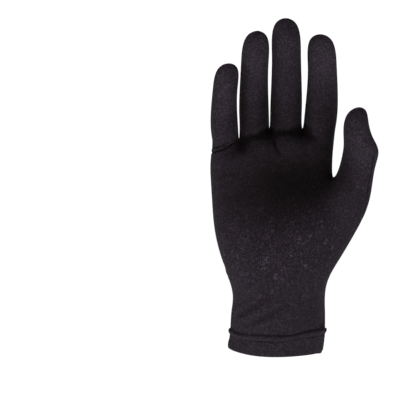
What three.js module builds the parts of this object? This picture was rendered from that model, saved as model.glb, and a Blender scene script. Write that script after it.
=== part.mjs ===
// A thin stretch-knit glove liner for the right hand, in the shape it takes when worn.
// Fingers point up along +Z, the palm faces -Y and the thumb is on the +X side.
// A palm panel and a back panel meet along an outline seam, and a folded hem closes the cuff.
// All lengths are millimetres. The origin is the centre of the cuff's opening.
import * as THREE from "three";

// Fabric
const knit = 1.1; // wall of the knit
const seamGap = 0.3; // slit between two pieces that are sewn edge to edge

// Cuff and wrist
const wristWidth = 65.5;
const wristDepth = 45;
const rimDip = 3.2; // how far the rim bows away from the hand at the front and back
const rimSkew = 0.5; // how much of that bow lies towards the little finger
const rimSlant = 2.4; // how much lower the rim is on the thumb's side

// Hem
const hemHeight = 13.7; // rim to the top of the roll
const hemRoll = 3.8; // height of the roll above the stitch line
const seamRise = 2.8; // how much further up the roll lies at the seam on the thumb's side
const hemProud = 0.5; // how far the doubled band stands out from the wrist
const rollProud = 1.6; // how far the roll stands out
const rimRound = 0.9; // height over which the rim's fold is rounded

// Hand
const handHeight = 151; // rim to the line where the fingers part
const palmDepth = 30;
const handShift = 3.3; // the row of fingers sits this far towards the little finger
const seamTurn = 33; // degrees that the thumb-side seam turns on to the palm at the wrist
const rootCrease = 2.6; // depth of the fold across the roots of the fingers, on the palm's side

// Fingers
const knucklesWide = 82.6; // the four fingers side by side, without the gaps between them
const fingerLength = 75.6; // the middle finger, from its root to its tip

// From the little finger to the index finger. width and gap, the clearance to the next finger, are
// shares of knucklesWide, depth a share of the width and set, how far back the root lies, a share of
// palmDepth. The rest are shares of fingerLength: length, foot and web are the heights of the root
// and of the crotch towards the next finger above handHeight, bow and lean shift the middle and the
// tip towards the thumb, curl brings the tip forwards. taper is the tip's share of the root.
const fingers = [
  {
    name: "little", width: 0.2252, depth: 0.903, length: 0.696, foot: -0.058, web: -0.048,
    gap: 0.0133, taper: 0.88, bow: -0.0185, lean: 0.041, curl: 0.159, set: -0.1,
  },
  {
    name: "ring", width: 0.2433, depth: 0.935, length: 0.926, foot: 0.011, web: 0.058,
    gap: 0.0085, taper: 0.92, bow: -0.0126, lean: 0.029, curl: 0.185, set: -0.013,
  },
  {
    name: "middle", width: 0.2603, depth: 0.921, length: 1.0, foot: 0.056, web: 0.049,
    gap: 0.0206, taper: 0.91, bow: 0.0093, lean: 0.0, curl: 0.172, set: 0.027,
  },
  {
    name: "index", width: 0.2712, depth: 0.875, length: 0.868, foot: 0.04, web: 0,
    gap: 0, taper: 0.84, bow: 0.0265, lean: 0.001, curl: 0.132, set: 0,
  },
];

// Sections along a finger: up is a share of its length, wide and deep are shares of its root.
const fingerSections = [
  { up: 0.05, wide: 0.99, deep: 0.98 },
  { up: 0.18, wide: 1.03, deep: 1.0 },
  { up: 0.34, wide: 1.01, deep: 0.96 },
  { up: 0.5, wide: 0.98, deep: 0.93 },
  { up: 0.65, wide: 0.965, deep: 0.87 },
  { up: 0.79, wide: 1.0, deep: 0.84 },
  { up: 0.9, wide: 0.9, deep: 0.72 },
  { up: 0.965, wide: 0.6, deep: 0.46 },
];
const tipRise = 1.005; // the tip's pole, as a share of the length

// Thumb: each section is a loop seen edge-on from the front, from its inner end, towards the index
// finger, to its outer end. Ends are shares of thumbReach and thumbRise from the thumb's root,
// forward is a share of thumbForward and deep a share of thumbDepth.
const thumbRootSide = 33; // root, sideways from the wrist's axis
const thumbRootHeight = 60;
const thumbReach = 37;
const thumbRise = 110;
const thumbForward = 17;
const thumbDepth = 22;
const thumbSections = [
  { name: "mount", innerX: 0.19, innerZ: 0.555, outerX: 0.53, outerZ: 0.19, forward: 0.3, deep: 1.2 },
  { name: "knuckle", innerX: 0.235, innerZ: 0.595, outerX: 0.83, outerZ: 0.385, forward: 0.5, deep: 1.12 },
  { name: "shaft", innerX: 0.27, innerZ: 0.635, outerX: 0.865, outerZ: 0.6, forward: 0.68, deep: 0.96 },
  { name: "joint", innerX: 0.335, innerZ: 0.735, outerX: 1.01, outerZ: 0.71, forward: 0.8, deep: 0.96 },
  { name: "waist", innerX: 0.32, innerZ: 0.8, outerX: 0.84, outerZ: 0.79, forward: 0.88, deep: 0.88 },
  { name: "pad", innerX: 0.315, innerZ: 0.88, outerX: 0.765, outerZ: 0.88, forward: 0.96, deep: 0.82 },
  { name: "crown", innerX: 0.385, innerZ: 0.95, outerX: 0.75, outerZ: 0.965, forward: 1.0, deep: 0.62 },
];
const thumbTip = { x: 0.59, z: 0.995, forward: 1.0 };

// Sections of the wrist and palm. up is a share of handHeight above the rim. little and thumb place
// the two sides between the wrist's half width (0) and the row of fingers (1), deep goes from
// wristDepth (0) to palmDepth (1), fan from even columns round a tube (0) to columns in line with
// the fingers (1).
const palmSections = [
  { name: "rim", up: 0.0, little: 0.11, thumb: -0.26, deep: 0.0, fan: 0.0 },
  { name: "hem", up: 0.074, little: 0.055, thumb: -0.03, deep: 0.01, fan: 0.0 },
  { name: "cuff", up: 0.115, little: 0.035, thumb: 0.0, deep: 0.02, fan: 0.0 },
  { name: "wrist", up: 0.175, little: 0.005, thumb: 0.0, deep: 0.06, fan: 0.0 },
  { name: "wrist's waist", up: 0.245, little: -0.14, thumb: -0.03, deep: 0.14, fan: 0.05 },
  { name: "heel", up: 0.32, little: 0.09, thumb: 0.26, deep: 0.25, fan: 0.15 },
  { name: "thumb root", up: 0.4, little: 0.43, thumb: 1.3, deep: 0.4, fan: 0.3 },
  { name: "thumb mount", up: 0.49, little: 0.76, thumb: 1.0, deep: 0.58, fan: 0.5 },
  { name: "mid palm", up: 0.585, little: 0.95, thumb: 1.0, deep: 0.74, fan: 0.7 },
  { name: "upper palm", up: 0.685, little: 1.02, thumb: 0.84, deep: 0.86, fan: 0.85 },
  { name: "thumb web", up: 0.785, little: 1.1, thumb: 0.69, deep: 0.95, fan: 0.95 },
  { name: "pads", up: 0.865, little: 1.14, thumb: 0.69, deep: 1.04, fan: 1.0 },
  { name: "finger roots", up: 0.93, little: 1.02, thumb: 0.8, deep: 1.2, fan: 1.0 },
];
const ringNamed = (name) => palmSections.findIndex((section) => section.name === name);
const thumbFrom = ringNamed("thumb root"); // the ring where the thumb's opening starts
const thumbTo = ringNamed("thumb web"); // and the one where it ends
const hemSection = ringNamed("hem"); // the panels start at this ring, inside the hem
const rimReach = 0.245; // the rim's dip and slant fade out by this share of handHeight

// Soft relief over the palm and the back. across is a share of the row of fingers from the wrist's
// axis, up a share of handHeight, wide and tall how far it spreads, lift its height in palmDepth.
const reliefs = [
  { name: "ball of the thumb", side: "palm", across: 0.27, up: 0.52, wide: 0.24, tall: 0.17, lift: 0.17 },
  { name: "heel of the hand", side: "palm", across: -0.33, up: 0.5, wide: 0.19, tall: 0.2, lift: 0.1 },
  { name: "hollow of the palm", side: "palm", across: 0.08, up: 0.73, wide: 0.24, tall: 0.12, lift: -0.14 },
  { name: "hollow by the thumb", side: "palm", across: 0.29, up: 0.79, wide: 0.15, tall: 0.1, lift: -0.15 },
  { name: "little finger's pad", side: "palm", across: -0.42, up: 0.87, wide: 0.1, tall: 0.06, lift: 0.06 },
  { name: "ring finger's pad", side: "palm", across: -0.2, up: 0.9, wide: 0.1, tall: 0.05, lift: 0.09 },
  { name: "middle finger's pad", side: "palm", across: 0.08, up: 0.915, wide: 0.11, tall: 0.05, lift: 0.11 },
  { name: "index finger's pad", side: "palm", across: 0.28, up: 0.9, wide: 0.1, tall: 0.05, lift: 0.07 },
  { name: "little knuckle", side: "back", across: -0.42, up: 0.84, wide: 0.1, tall: 0.08, lift: 0.05 },
  { name: "ring knuckle", side: "back", across: -0.19, up: 0.86, wide: 0.1, tall: 0.08, lift: 0.08 },
  { name: "middle knuckle", side: "back", across: 0.06, up: 0.88, wide: 0.1, tall: 0.08, lift: 0.1 },
  { name: "index knuckle", side: "back", across: 0.32, up: 0.86, wide: 0.11, tall: 0.08, lift: 0.08 },
  { name: "wrist bone", side: "back", across: -0.25, up: 0.27, wide: 0.12, tall: 0.08, lift: 0.05 },
];

// Columns round a palm section, from the little finger's side across the palm and back
const columns = 20;
const thumbColumn = columns / 2;
const roundness = 2.3; // exponent of the superellipse that every section follows
const fingerSides = 8;
const thumbSides = 2 + 2 * (thumbTo - thumbFrom + 1);

const { lerp, degToRad, smoothstep } = THREE.MathUtils;

// A smooth ring's corner loses this much when the cage is refined, so rings are drawn wider first.
const swell = (sides) => 8 / (6 + 2 * Math.cos((2 * Math.PI) / sides));

// How far a superellipse of half width 1 reaches in depth at a share of its half width.
const fullness = (share) =>
  Math.pow(Math.max(0, 1 - Math.pow(Math.min(1, Math.abs(share)), roundness)), 1 / roundness);

// A point on a superellipse at an angle.
function onRing(angle) {
  const bulge = (value) => Math.sign(value) * Math.pow(Math.abs(value), 2 / roundness);
  return [bulge(Math.cos(angle)), bulge(Math.sin(angle))];
}

// Where each finger stands, in millimetres: they lie side by side, with their gaps between them.
const rowWidth = knucklesWide * fingers.reduce((sum, f) => sum + f.width + f.gap, 0);
const rowLeft = -rowWidth / 2 - handShift;
const feet = [];
fingers.reduce((left, f) => {
  const width = f.width * knucklesWide;
  feet.push({
    width,
    depth: f.depth * width,
    length: f.length * fingerLength,
    taper: f.taper,
    bow: f.bow * fingerLength,
    lean: f.lean * fingerLength,
    curl: f.curl * fingerLength,
    set: f.set * palmDepth,
    x: left + width / 2,
    left,
    right: left + width,
    z: handHeight + f.foot * fingerLength,
    webHeight: handHeight + f.web * fingerLength,
  });
  return left + width + f.gap * knucklesWide;
}, rowLeft);
const rowRight = rowLeft + rowWidth;

// The cage: a coarse skin of four-sided faces, each marked with the panel it belongs to
const points = [];
const quads = [];

function addPoint(x, y, z) {
  points.push(new THREE.Vector3(x, y, z));
  return points.length - 1;
}

function addQuad(panel, ...corners) {
  quads.push({ panel, corners });
}

// Joins two loops with a band of quads, the first half of the columns being the palm.
function bridge(lower, upper, panelOf) {
  const count = lower.length;
  for (let i = 0; i < count; i++) {
    const j = (i + 1) % count;
    addQuad(panelOf(i), lower[i], lower[j], upper[j], upper[i]);
  }
}

const panelByHalf = (count) => (i) => (i < count / 2 ? "palm" : "back");

// Closes a loop with quads round a pole, so that the seam runs over it.
function cap(loop, pole) {
  const panelOf = panelByHalf(loop.length);
  for (let i = 0; i < loop.length; i += 2) {
    addQuad(panelOf(i), loop[i], loop[i + 1], loop[(i + 2) % loop.length], pole);
  }
}

// Places of the fanned columns across the palm: corner, finger, web, finger and so on
const lanes = feet.flatMap((foot, i) => {
  const next = feet[i + 1];
  return next ? [foot.x, (foot.right + next.left) / 2] : [foot.x];
});
const cornerInset = 0.045 * rowWidth;
lanes.unshift(rowLeft + cornerInset);
lanes.push(rowRight - cornerInset);

// Where the columns stand, as shares of the half width from -1 to 1, and on which side
function columnShares(fan) {
  const turn = degToRad(seamTurn) * (1 - fan);
  const shares = [];
  for (let i = 0; i < columns; i++) {
    const onPalm = i <= thumbColumn;
    const angle = onPalm
      ? Math.PI + ((Math.PI - turn) * i) / thumbColumn
      : 2 * Math.PI - turn + ((Math.PI + turn) * (i - thumbColumn)) / thumbColumn;
    const even = onRing(angle)[0];
    const lane = i < thumbColumn ? i - 1 : columns - 1 - i;
    const onSeam = i % thumbColumn === 0;
    const fanned = onSeam ? Math.sign(even) : (2 * (lanes[lane] - rowLeft)) / rowWidth - 1;
    shares.push({ across: lerp(even, fanned, fan), forward: onPalm ? -1 : 1 });
  }
  return shares;
}

// How far the rim lies below the origin at a share of the half width
const rimDrop = (across) =>
  rimDip * (1 - across * across) * (1 - rimSkew * across) + (rimSlant / 2) * across;

// Rings of the wrist and palm
const rings = palmSections.map((section) => {
  const half = wristWidth / 2;
  const nearRim = 1 - smoothstep(section.up, 0, rimReach);
  const left = -lerp(half, -rowLeft, section.little);
  const right = lerp(half, rowRight, section.thumb);
  const centre = (left + right) / 2;
  const reach = ((right - left) / 2) * swell(columns);
  const depth = (lerp(wristDepth, palmDepth, section.deep) / 2) * swell(columns);
  return columnShares(section.fan).map(({ across, forward }) => {
    const full = fullness(across);
    return addPoint(
      centre + reach * across,
      forward * depth * full,
      section.up * handHeight - rimDrop(across) * nearRim,
    );
  });
});

// The last ring, where the fingers part: feet and the webs between them
const last = [];
const webs = [];
// How far the roots' rows lie below the fingers' feet, and the webs' rows below the crotches, as
// shares of fingerLength
const rootDrop = { palm: 0.033, back: 0.053 };
const webDrop = { palm: 0.04, middle: 0.029, back: 0.106 };
const cornerIn = 0.22; // the outer corners, as shares of half a finger's width and of its depth
const cornerDepth = 0.36;

function webAt(i) {
  const a = feet[i];
  const b = feet[i + 1];
  return {
    x: (a.right + b.left) / 2,
    y: (a.set + b.set) / 2,
    z: a.webHeight,
    depth: (a.depth + b.depth) / 2,
  };
}

// A finger's root on the palm's side, where it sinks into the fold, or on the back
function rootPoint(foot, sign) {
  const sunk = sign < 0 ? rootCrease : 0;
  const reach = (foot.depth * swell(fingerSides)) / 2 - sunk;
  const drop = (sign < 0 ? rootDrop.palm : rootDrop.back) * fingerLength;
  return addPoint(foot.x, foot.set + sign * reach, foot.z - drop);
}

// The corner between a root and the outline seam
function cornerPoint(foot, side, sign) {
  const x = lerp(side, foot.x, cornerIn);
  return addPoint(x, foot.set + sign * foot.depth * cornerDepth, foot.z - rootDrop.palm * fingerLength);
}

const first = feet[0];
const final = feet[feet.length - 1];
last[0] = addPoint(first.left, first.set, first.z);
last[1] = cornerPoint(first, first.left, -1);
last[columns - 1] = cornerPoint(first, first.left, 1);
feet.forEach((foot, i) => {
  const lane = 2 + 2 * i;
  last[lane] = rootPoint(foot, -1);
  last[columns - lane] = rootPoint(foot, 1);
  if (i + 1 === feet.length) return;
  const web = webAt(i);
  last[lane + 1] = addPoint(web.x, web.y - 0.36 * web.depth, web.z - webDrop.palm * fingerLength);
  last[columns - lane - 1] = addPoint(
    web.x,
    web.y + 0.28 * web.depth,
    web.z - webDrop.back * fingerLength,
  );
  webs.push(addPoint(web.x, web.y - 0.05 * web.depth, web.z - webDrop.middle * fingerLength));
});
last[thumbColumn - 1] = cornerPoint(final, final.right, -1);
last[thumbColumn] = addPoint(final.right, final.set, final.z);
last[thumbColumn + 1] = cornerPoint(final, final.right, 1);
rings.push(last);

// Bands of the wrist and palm, with an opening on the thumb's side
const isThumbHole = (ring, column) =>
  ring >= thumbFrom && ring < thumbTo && (column === thumbColumn - 1 || column === thumbColumn);
for (let r = 0; r + 1 < rings.length; r++) {
  for (let i = 0; i < columns; i++) {
    if (isThumbHole(r, i)) continue;
    const j = (i + 1) % columns;
    const panel = r < hemSection ? "hem" : panelByHalf(columns)(i);
    addQuad(panel, rings[r][i], rings[r][j], rings[r + 1][j], rings[r + 1][i]);
  }
}

// Fingers
feet.forEach((foot, i) => {
  const lane = 2 + 2 * i;
  const inner = i === 0 ? last[0] : webs[i - 1];
  const outer = i + 1 === feet.length ? last[thumbColumn] : webs[i];
  let loop = [
    inner,
    last[lane - 1],
    last[lane],
    last[lane + 1],
    outer,
    last[columns - lane - 1],
    last[columns - lane],
    last[(columns - lane + 1) % columns],
  ];
  const axis = (up) => ({
    x: foot.x + foot.bow * 4 * up * (1 - up) + foot.lean * up * up,
    y: foot.set - foot.curl * (0.2 * up + 0.8 * up * up),
    z: foot.z + up * foot.length,
  });
  for (const { up, wide, deep } of fingerSections) {
    const centre = axis(up);
    const narrow = 1 - (1 - foot.taper) * up;
    const a = (foot.width / 2) * wide * narrow * swell(fingerSides);
    const b = (foot.depth / 2) * deep * narrow * swell(fingerSides);
    const tilt = (foot.curl * (0.2 + 1.6 * up)) / foot.length;
    const ring = [];
    for (let k = 0; k < fingerSides; k++) {
      const [across, back] = onRing(Math.PI + (2 * Math.PI * k) / fingerSides);
      ring.push(addPoint(centre.x + a * across, centre.y + b * back, centre.z + b * back * tilt));
    }
    bridge(loop, ring, panelByHalf(fingerSides));
    loop = ring;
  }
  const tip = axis(tipRise);
  cap(loop, addPoint(tip.x, tip.y, tip.z));
});

// Thumb
{
  const front = thumbColumn - 1;
  const back = thumbColumn + 1;
  let loop = [rings[thumbTo][thumbColumn]];
  for (let r = thumbTo; r >= thumbFrom; r--) loop.push(rings[r][front]);
  loop.push(rings[thumbFrom][thumbColumn]);
  for (let r = thumbFrom; r <= thumbTo; r++) loop.push(rings[r][back]);
  const at = (x, z) => [thumbRootSide + x * thumbReach, thumbRootHeight + z * thumbRise];
  for (const s of thumbSections) {
    const [innerX, innerZ] = at(s.innerX, s.innerZ);
    const [outerX, outerZ] = at(s.outerX, s.outerZ);
    const grow = swell(thumbSides);
    const ring = [];
    for (let k = 0; k < thumbSides; k++) {
      const [across, back] = onRing(Math.PI + (2 * Math.PI * k) / thumbSides);
      const share = 0.5 + 0.5 * across * grow;
      ring.push(
        addPoint(
          lerp(innerX, outerX, share),
          -s.forward * thumbForward + (back * s.deep * thumbDepth * grow) / 2,
          lerp(innerZ, outerZ, share),
        ),
      );
    }
    bridge(loop, ring, panelByHalf(thumbSides));
    loop = ring;
  }
  const [tipX, tipZ] = at(thumbTip.x, thumbTip.z);
  cap(loop, addPoint(tipX, -thumbTip.forward * thumbForward, tipZ));
}

// One step of Catmull-Clark smoothing. Returns the fine skin, and where each old corner, edge and
// face went, so that the hem can follow the same rows.
function refine(points, quads) {
  const middle = (...list) =>
    list.reduce((sum, p) => sum.add(p), new THREE.Vector3()).divideScalar(list.length);
  const edgeKey = (a, b) => (a < b ? `${a} ${b}` : `${b} ${a}`);
  const facePoints = quads.map(({ corners }) => middle(...corners.map((c) => points[c])));
  const edges = new Map();
  const around = points.map(() => ({ faces: [], edges: [] }));
  quads.forEach(({ corners }, f) => {
    corners.forEach((a, i) => {
      const b = corners[(i + 1) % corners.length];
      const key = edgeKey(a, b);
      if (!edges.has(key)) {
        edges.set(key, { a, b, faces: [] });
        around[a].edges.push(key);
        around[b].edges.push(key);
      }
      edges.get(key).faces.push(f);
      around[a].faces.push(f);
    });
  });
  const fine = points.map((p, i) => {
    const { faces, edges: keys } = around[i];
    const open = keys.filter((key) => edges.get(key).faces.length === 1);
    const centres = (list) => list.map((key) => middle(points[edges.get(key).a], points[edges.get(key).b]));
    if (open.length) return middle(p, p, ...centres(open));
    const n = faces.length;
    const q = middle(...faces.map((f) => facePoints[f]));
    const r = middle(...centres(keys));
    return q.add(r.multiplyScalar(2)).addScaledVector(p, n - 3).divideScalar(n);
  });
  const edgeAt = new Map();
  for (const [key, { a, b, faces }] of edges) {
    edgeAt.set(key, fine.length);
    fine.push(
      faces.length === 1
        ? middle(points[a], points[b])
        : middle(points[a], points[b], facePoints[faces[0]], facePoints[faces[1]]),
    );
  }
  const faceAt = fine.length;
  fine.push(...facePoints);
  const fineQuads = quads.flatMap(({ panel, corners }, f) =>
    corners.map((c, i) => {
      const next = edgeAt.get(edgeKey(c, corners[(i + 1) % corners.length]));
      const before = edgeAt.get(edgeKey(c, corners[(i + corners.length - 1) % corners.length]));
      return { panel, corners: [c, next, faceAt + f, before] };
    }),
  );
  return { points: fine, quads: fineQuads, edgeAt: (a, b) => edgeAt.get(edgeKey(a, b)) };
}

// Normals of the skin at its points, weighted by the faces' areas.
function normalsOf(points, quads) {
  const normals = points.map(() => new THREE.Vector3());
  for (const { corners } of quads) {
    const [a, b, c, d] = corners.map((i) => points[i]);
    const face = new THREE.Vector3().crossVectors(
      new THREE.Vector3().subVectors(c, a),
      new THREE.Vector3().subVectors(d, b),
    );
    for (const i of corners) normals[i].add(face);
  }
  return normals.map((n) => n.normalize());
}

const skin = refine(points, quads);

// Relief, added along the normals of the palm or the back
{
  const normals = normalsOf(skin.points, skin.quads);
  const onPanel = { palm: new Set(), back: new Set(), hem: new Set() };
  for (const { panel, corners } of skin.quads) corners.forEach((c) => onPanel[panel].add(c));
  const lifts = skin.points.map((p, i) => {
    let lift = 0;
    for (const r of reliefs) {
      if (!onPanel[r.side].has(i)) continue;
      const dx = (p.x - r.across * rowWidth) / (r.wide * rowWidth);
      const dz = (p.z - r.up * handHeight) / (r.tall * handHeight);
      const facing = Math.max(0, r.side === "palm" ? -normals[i].y : normals[i].y);
      lift += r.lift * palmDepth * Math.exp(-dx * dx - dz * dz) * facing;
    }
    return lift;
  });
  skin.points.forEach((p, i) => p.addScaledVector(normals[i], lifts[i]));
}

const normals = normalsOf(skin.points, skin.quads);

// Turns loops of corners into a mesh's triangles. Each face is cut along its shorter diagonal, or
// all are cut the same way, where long thin faces would else zigzag.
function meshOf(name, positions, faces, material, sameCut = false) {
  const index = [];
  for (const [a, b, c, d] of faces) {
    const ac = positions[a].distanceTo(positions[c]);
    const bd = positions[b].distanceTo(positions[d]);
    index.push(...(sameCut || ac < bd ? [a, b, c, a, c, d] : [a, b, d, b, c, d]));
  }
  const geometry = new THREE.BufferGeometry().setFromPoints(positions);
  geometry.setIndex(index);
  geometry.computeVertexNormals();
  const mesh = new THREE.Mesh(geometry, material);
  mesh.name = name;
  return mesh;
}

// A panel: its part of the skin, given the knit's wall, with half of seamGap taken off at the seam.
function panelMesh(name, panel, material) {
  const faces = skin.quads.filter((q) => q.panel === panel).map((q) => q.corners);
  const used = [...new Set(faces.flat())];
  const place = new Map(used.map((p, i) => [p, i]));
  const otherPanel = new Set(
    skin.quads.filter((q) => q.panel !== panel && q.panel !== "hem").flatMap((q) => q.corners),
  );
  const away = panel === "palm" ? -1 : 1;
  const outer = used.map((p) => {
    const point = skin.points[p].clone();
    if (otherPanel.has(p)) point.y += (away * seamGap) / 2;
    return point;
  });
  const inner = outer.map((p, i) => p.clone().addScaledVector(normals[used[i]], -knit));
  const count = used.length;
  const solid = [];
  const borders = new Map();
  for (const face of faces) {
    const corners = face.map((p) => place.get(p));
    solid.push(corners);
    solid.push([...corners].reverse().map((c) => c + count));
    corners.forEach((a, i) => {
      const b = corners[(i + 1) % corners.length];
      if (borders.has(`${b} ${a}`)) borders.delete(`${b} ${a}`);
      else borders.set(`${a} ${b}`, [a, b]);
    });
  }
  for (const [a, b] of borders.values()) solid.push([b, a, a + count, b + count]);
  return meshOf(name, [...outer, ...inner], solid, material);
}

// The rows of fine points that the hem follows, each going round the wrist
function fineRows(count) {
  const rows = [];
  for (let r = 0; r < count; r++) {
    const even = [];
    const odd = [];
    for (let i = 0; i < columns; i++) {
      const j = (i + 1) % columns;
      even.push(rings[r][i], skin.edgeAt(rings[r][i], rings[r][j]));
      const side = skin.edgeAt(rings[r][i], rings[r + 1][i]);
      const face = skin.quads.find(
        ({ corners }) => corners[0] === rings[r][i] && corners[3] === side,
      );
      odd.push(side, face ? face.corners[2] : side);
    }
    rows.push(even, odd);
  }
  return rows.map((row) => row.map((i) => skin.points[i]));
}

// The hem: a doubled band, closed by a roll that laps over the panels' lower edge
function hemMesh(name, material) {
  const rows = fineRows(hemSection + 2);
  const count = rows[0].length;
  const tuckRow = rows[2 * hemSection];
  const rise = (row, i) => row[i].z - rows[0][i].z;
  // The wrist's surface at a height above the rim, in column i
  const onWrist = (i, height) => {
    let r = 0;
    while (r + 2 < rows.length && rise(rows[r + 1], i) < height) r++;
    const low = rise(rows[r], i);
    const share = (height - low) / (rise(rows[r + 1], i) - low);
    return rows[r][i].clone().lerp(rows[r + 1][i], share);
  };
  // The roll climbs towards the seam on the thumb's side, which is half the way round
  const climb = (i) => seamRise * (1 - smoothstep(Math.abs(i / count - 0.5), 0.05, 0.17));
  const outwards = (i) => {
    const along = new THREE.Vector3().subVectors(
      tuckRow[(i + 1) % count],
      tuckRow[(i + count - 1) % count],
    );
    return new THREE.Vector3(along.y, -along.x, 0).normalize();
  };
  const positions = [];
  let profileSize = 0;
  for (let i = 0; i < count; i++) {
    const edge = rise(tuckRow, i); // height of the panels' lower edge
    const stitch = hemHeight - hemRoll + climb(i);
    const roll = (share) => stitch + share * hemRoll;
    // height above the rim and distance out from the wrist's surface, round the section
    const profile = [
      { height: 0.0, out: -0.35 * knit },
      { height: rimRound, out: -knit },
      { height: edge - seamGap, out: -knit },
      { height: edge - seamGap, out: seamGap },
      { height: roll(0.86), out: seamGap },
      { height: roll(1.0), out: 0.6 * rollProud },
      { height: roll(0.8), out: 0.95 * rollProud },
      { height: roll(0.45), out: rollProud },
      { height: roll(0.12), out: 0.85 * rollProud },
      { height: roll(-0.05), out: hemProud * 0.75 },
      { height: roll(-0.3), out: hemProud },
      { height: 0.5 * stitch, out: hemProud },
      { height: rimRound, out: hemProud },
      { height: 0.0, out: 0.45 * hemProud },
    ];
    profileSize = profile.length;
    for (const { height, out } of profile) {
      positions.push(onWrist(i, height).addScaledVector(outwards(i), out));
    }
  }
  const faces = [];
  for (let i = 0; i < count; i++) {
    const j = (i + 1) % count;
    for (let k = 0; k < profileSize; k++) {
      const m = (k + 1) % profileSize;
      faces.push([
        i * profileSize + k,
        i * profileSize + m,
        j * profileSize + m,
        j * profileSize + k,
      ]);
    }
  }
  return meshOf(name, positions, faces, material, true);
}

const knitCloth = new THREE.MeshStandardMaterial({ color: 0x2a252a, roughness: 0.9, metalness: 0 });
const hemCloth = new THREE.MeshStandardMaterial({ color: 0x2b262c, roughness: 0.88, metalness: 0 });

const glove = new THREE.Group();
glove.add(
  panelMesh("palm_panel", "palm", knitCloth),
  panelMesh("back_panel", "back", knitCloth),
  hemMesh("cuff_hem", hemCloth),
);

export default glove;
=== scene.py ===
import math
import bmesh
import bpy
import numpy as np
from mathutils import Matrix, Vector
from mathutils.bvhtree import BVHTree
from mathutils.kdtree import KDTree


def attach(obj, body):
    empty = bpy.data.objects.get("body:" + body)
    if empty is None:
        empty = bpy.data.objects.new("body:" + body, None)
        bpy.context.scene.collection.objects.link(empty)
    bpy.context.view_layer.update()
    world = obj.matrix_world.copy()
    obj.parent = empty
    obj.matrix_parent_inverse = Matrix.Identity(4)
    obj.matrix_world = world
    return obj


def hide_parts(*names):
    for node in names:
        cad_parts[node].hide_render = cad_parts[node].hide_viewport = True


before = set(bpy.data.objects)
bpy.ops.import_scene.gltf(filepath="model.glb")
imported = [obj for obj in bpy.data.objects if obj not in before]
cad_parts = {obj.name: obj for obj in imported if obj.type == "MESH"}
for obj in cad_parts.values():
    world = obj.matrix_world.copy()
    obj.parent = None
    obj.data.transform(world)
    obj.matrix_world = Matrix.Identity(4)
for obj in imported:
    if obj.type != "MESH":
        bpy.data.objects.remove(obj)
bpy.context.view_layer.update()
scene = bpy.context.scene
mm = 0.001

# Camera: straight on to the palm from a metre away, with the glove to the right of the middle
cameraSettings = {
    "place": (0.0105, -1.0, 0.1134),
    "lens": 128.6,
    "sensor": 36.0,
    "turn": 3.745,  # degrees to the left
    "tip": -0.52,  # degrees up from level
}
cameraData = bpy.data.cameras.new("camera")
cameraData.lens = cameraSettings["lens"]
cameraData.sensor_width = cameraSettings["sensor"]
cameraData.clip_start = 0.01
cameraData.clip_end = 100
camera = bpy.data.objects.new("camera", cameraData)
camera.location = cameraSettings["place"]
camera.rotation_euler = (
    math.radians(90 + cameraSettings["tip"]), 0, math.radians(cameraSettings["turn"]))
scene.collection.objects.link(camera)
scene.camera = camera
print("camera set")


# Small helpers for shader nodes
def addNode(tree, kind, sockets=None, **options):
    made = tree.nodes.new(kind)
    for name, value in options.items():
        setattr(made, name, value)
    for name, value in (sockets or {}).items():
        if isinstance(value, bpy.types.NodeSocket):
            tree.links.new(value, made.inputs[name])
        else:
            made.inputs[name].default_value = value
    return made


def calc(tree, operation, *values):
    return addNode(tree, "ShaderNodeMath", dict(enumerate(values)), operation=operation).outputs[0]


def noiseAt(tree, place, scale, detail=2.0, roughness=0.5):
    sockets = {"Vector": place, "Scale": scale, "Detail": detail, "Roughness": roughness}
    return addNode(tree, "ShaderNodeTexNoise", sockets).outputs["Fac"]


def newMaterial(name):
    material = bpy.data.materials.new(name)
    material.use_nodes = True
    material.node_tree.nodes.clear()
    return material, material.node_tree


def finishMaterial(tree, shader):
    output = tree.nodes.new("ShaderNodeOutputMaterial")
    tree.links.new(shader.outputs[0], output.inputs["Surface"])


# Knit: wales run up the cloth and each loop is a small V. The map "cloth" is in millimetres.
knitLook = {
    "colour": (0.0288, 0.0226, 0.0300, 1),
    "shadedColour": (0.0288, 0.0226, 0.0256, 1),  # the colour where shade is painted on the cloth: browner
    "wale": 1.35,  # mm from one wale to the next
    "course": 1.1,  # mm from one row of loops to the next
    "waleContrast": 0.16,
    "pulledContrast": 0.75,  # extra where the cloth is pulled along its wales
    "midHeight": 0.4,  # height at which a wale is neither lighter nor darker
    "loops": 0.10,  # light and dark of single loops
    "grain": 0.36,  # and of the fibres
    "quietGrain": 0.6,  # the share of it where no stray loops show; it doubles where they all do
    "patches": 0.08,  # broad light and dark
    "stray": 2.2,  # how much brighter the stray loops are that catch the light
    "fibre": (0.42, 0.62),  # mm, how wide and tall the grain is
    "glint": (2.5, 3.5),  # how rare the bright fibres are, and how bright
    "drift": (0.09, 2.7),  # how fast and how far, in mm, the wales wander
    "unevenness": 0.55,  # of the loops
    "patchSize": 15,  # mm
    "strayLine": (3.0, 0.045, 0.008),  # mm from line to line, and a line's edge and middle
    "strayCluster": (4.5, 0.54, 0.64),  # mm across, and a cluster's edge and middle
    "browner": (0.35, 0.9),  # amounts of painted light between which the painted-shade colour gives way
    "darkest": 0.15,
    "relief": 0.16,  # mm
    "loopRelief": 0.5,  # how unevenly high the loops are, as a share of the relief
    "grainRelief": 0.8,
    "reliefStrength": 0.8,
    "roughness": 0.88,
    "roughnessSpread": 0.12,
    "sheen": 0.07,
    "sheenRoughness": 0.42,
    "sheenTint": (0.86, 0.78, 0.90, 1),
    "specular": 0.0,
    "lines": [],  # dark lines on the map: where in mm, their half width and how dark
}
insideLook = {**knitLook, "colour": (0.0200, 0.0158, 0.0208, 1), "sheen": 0.06}
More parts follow.
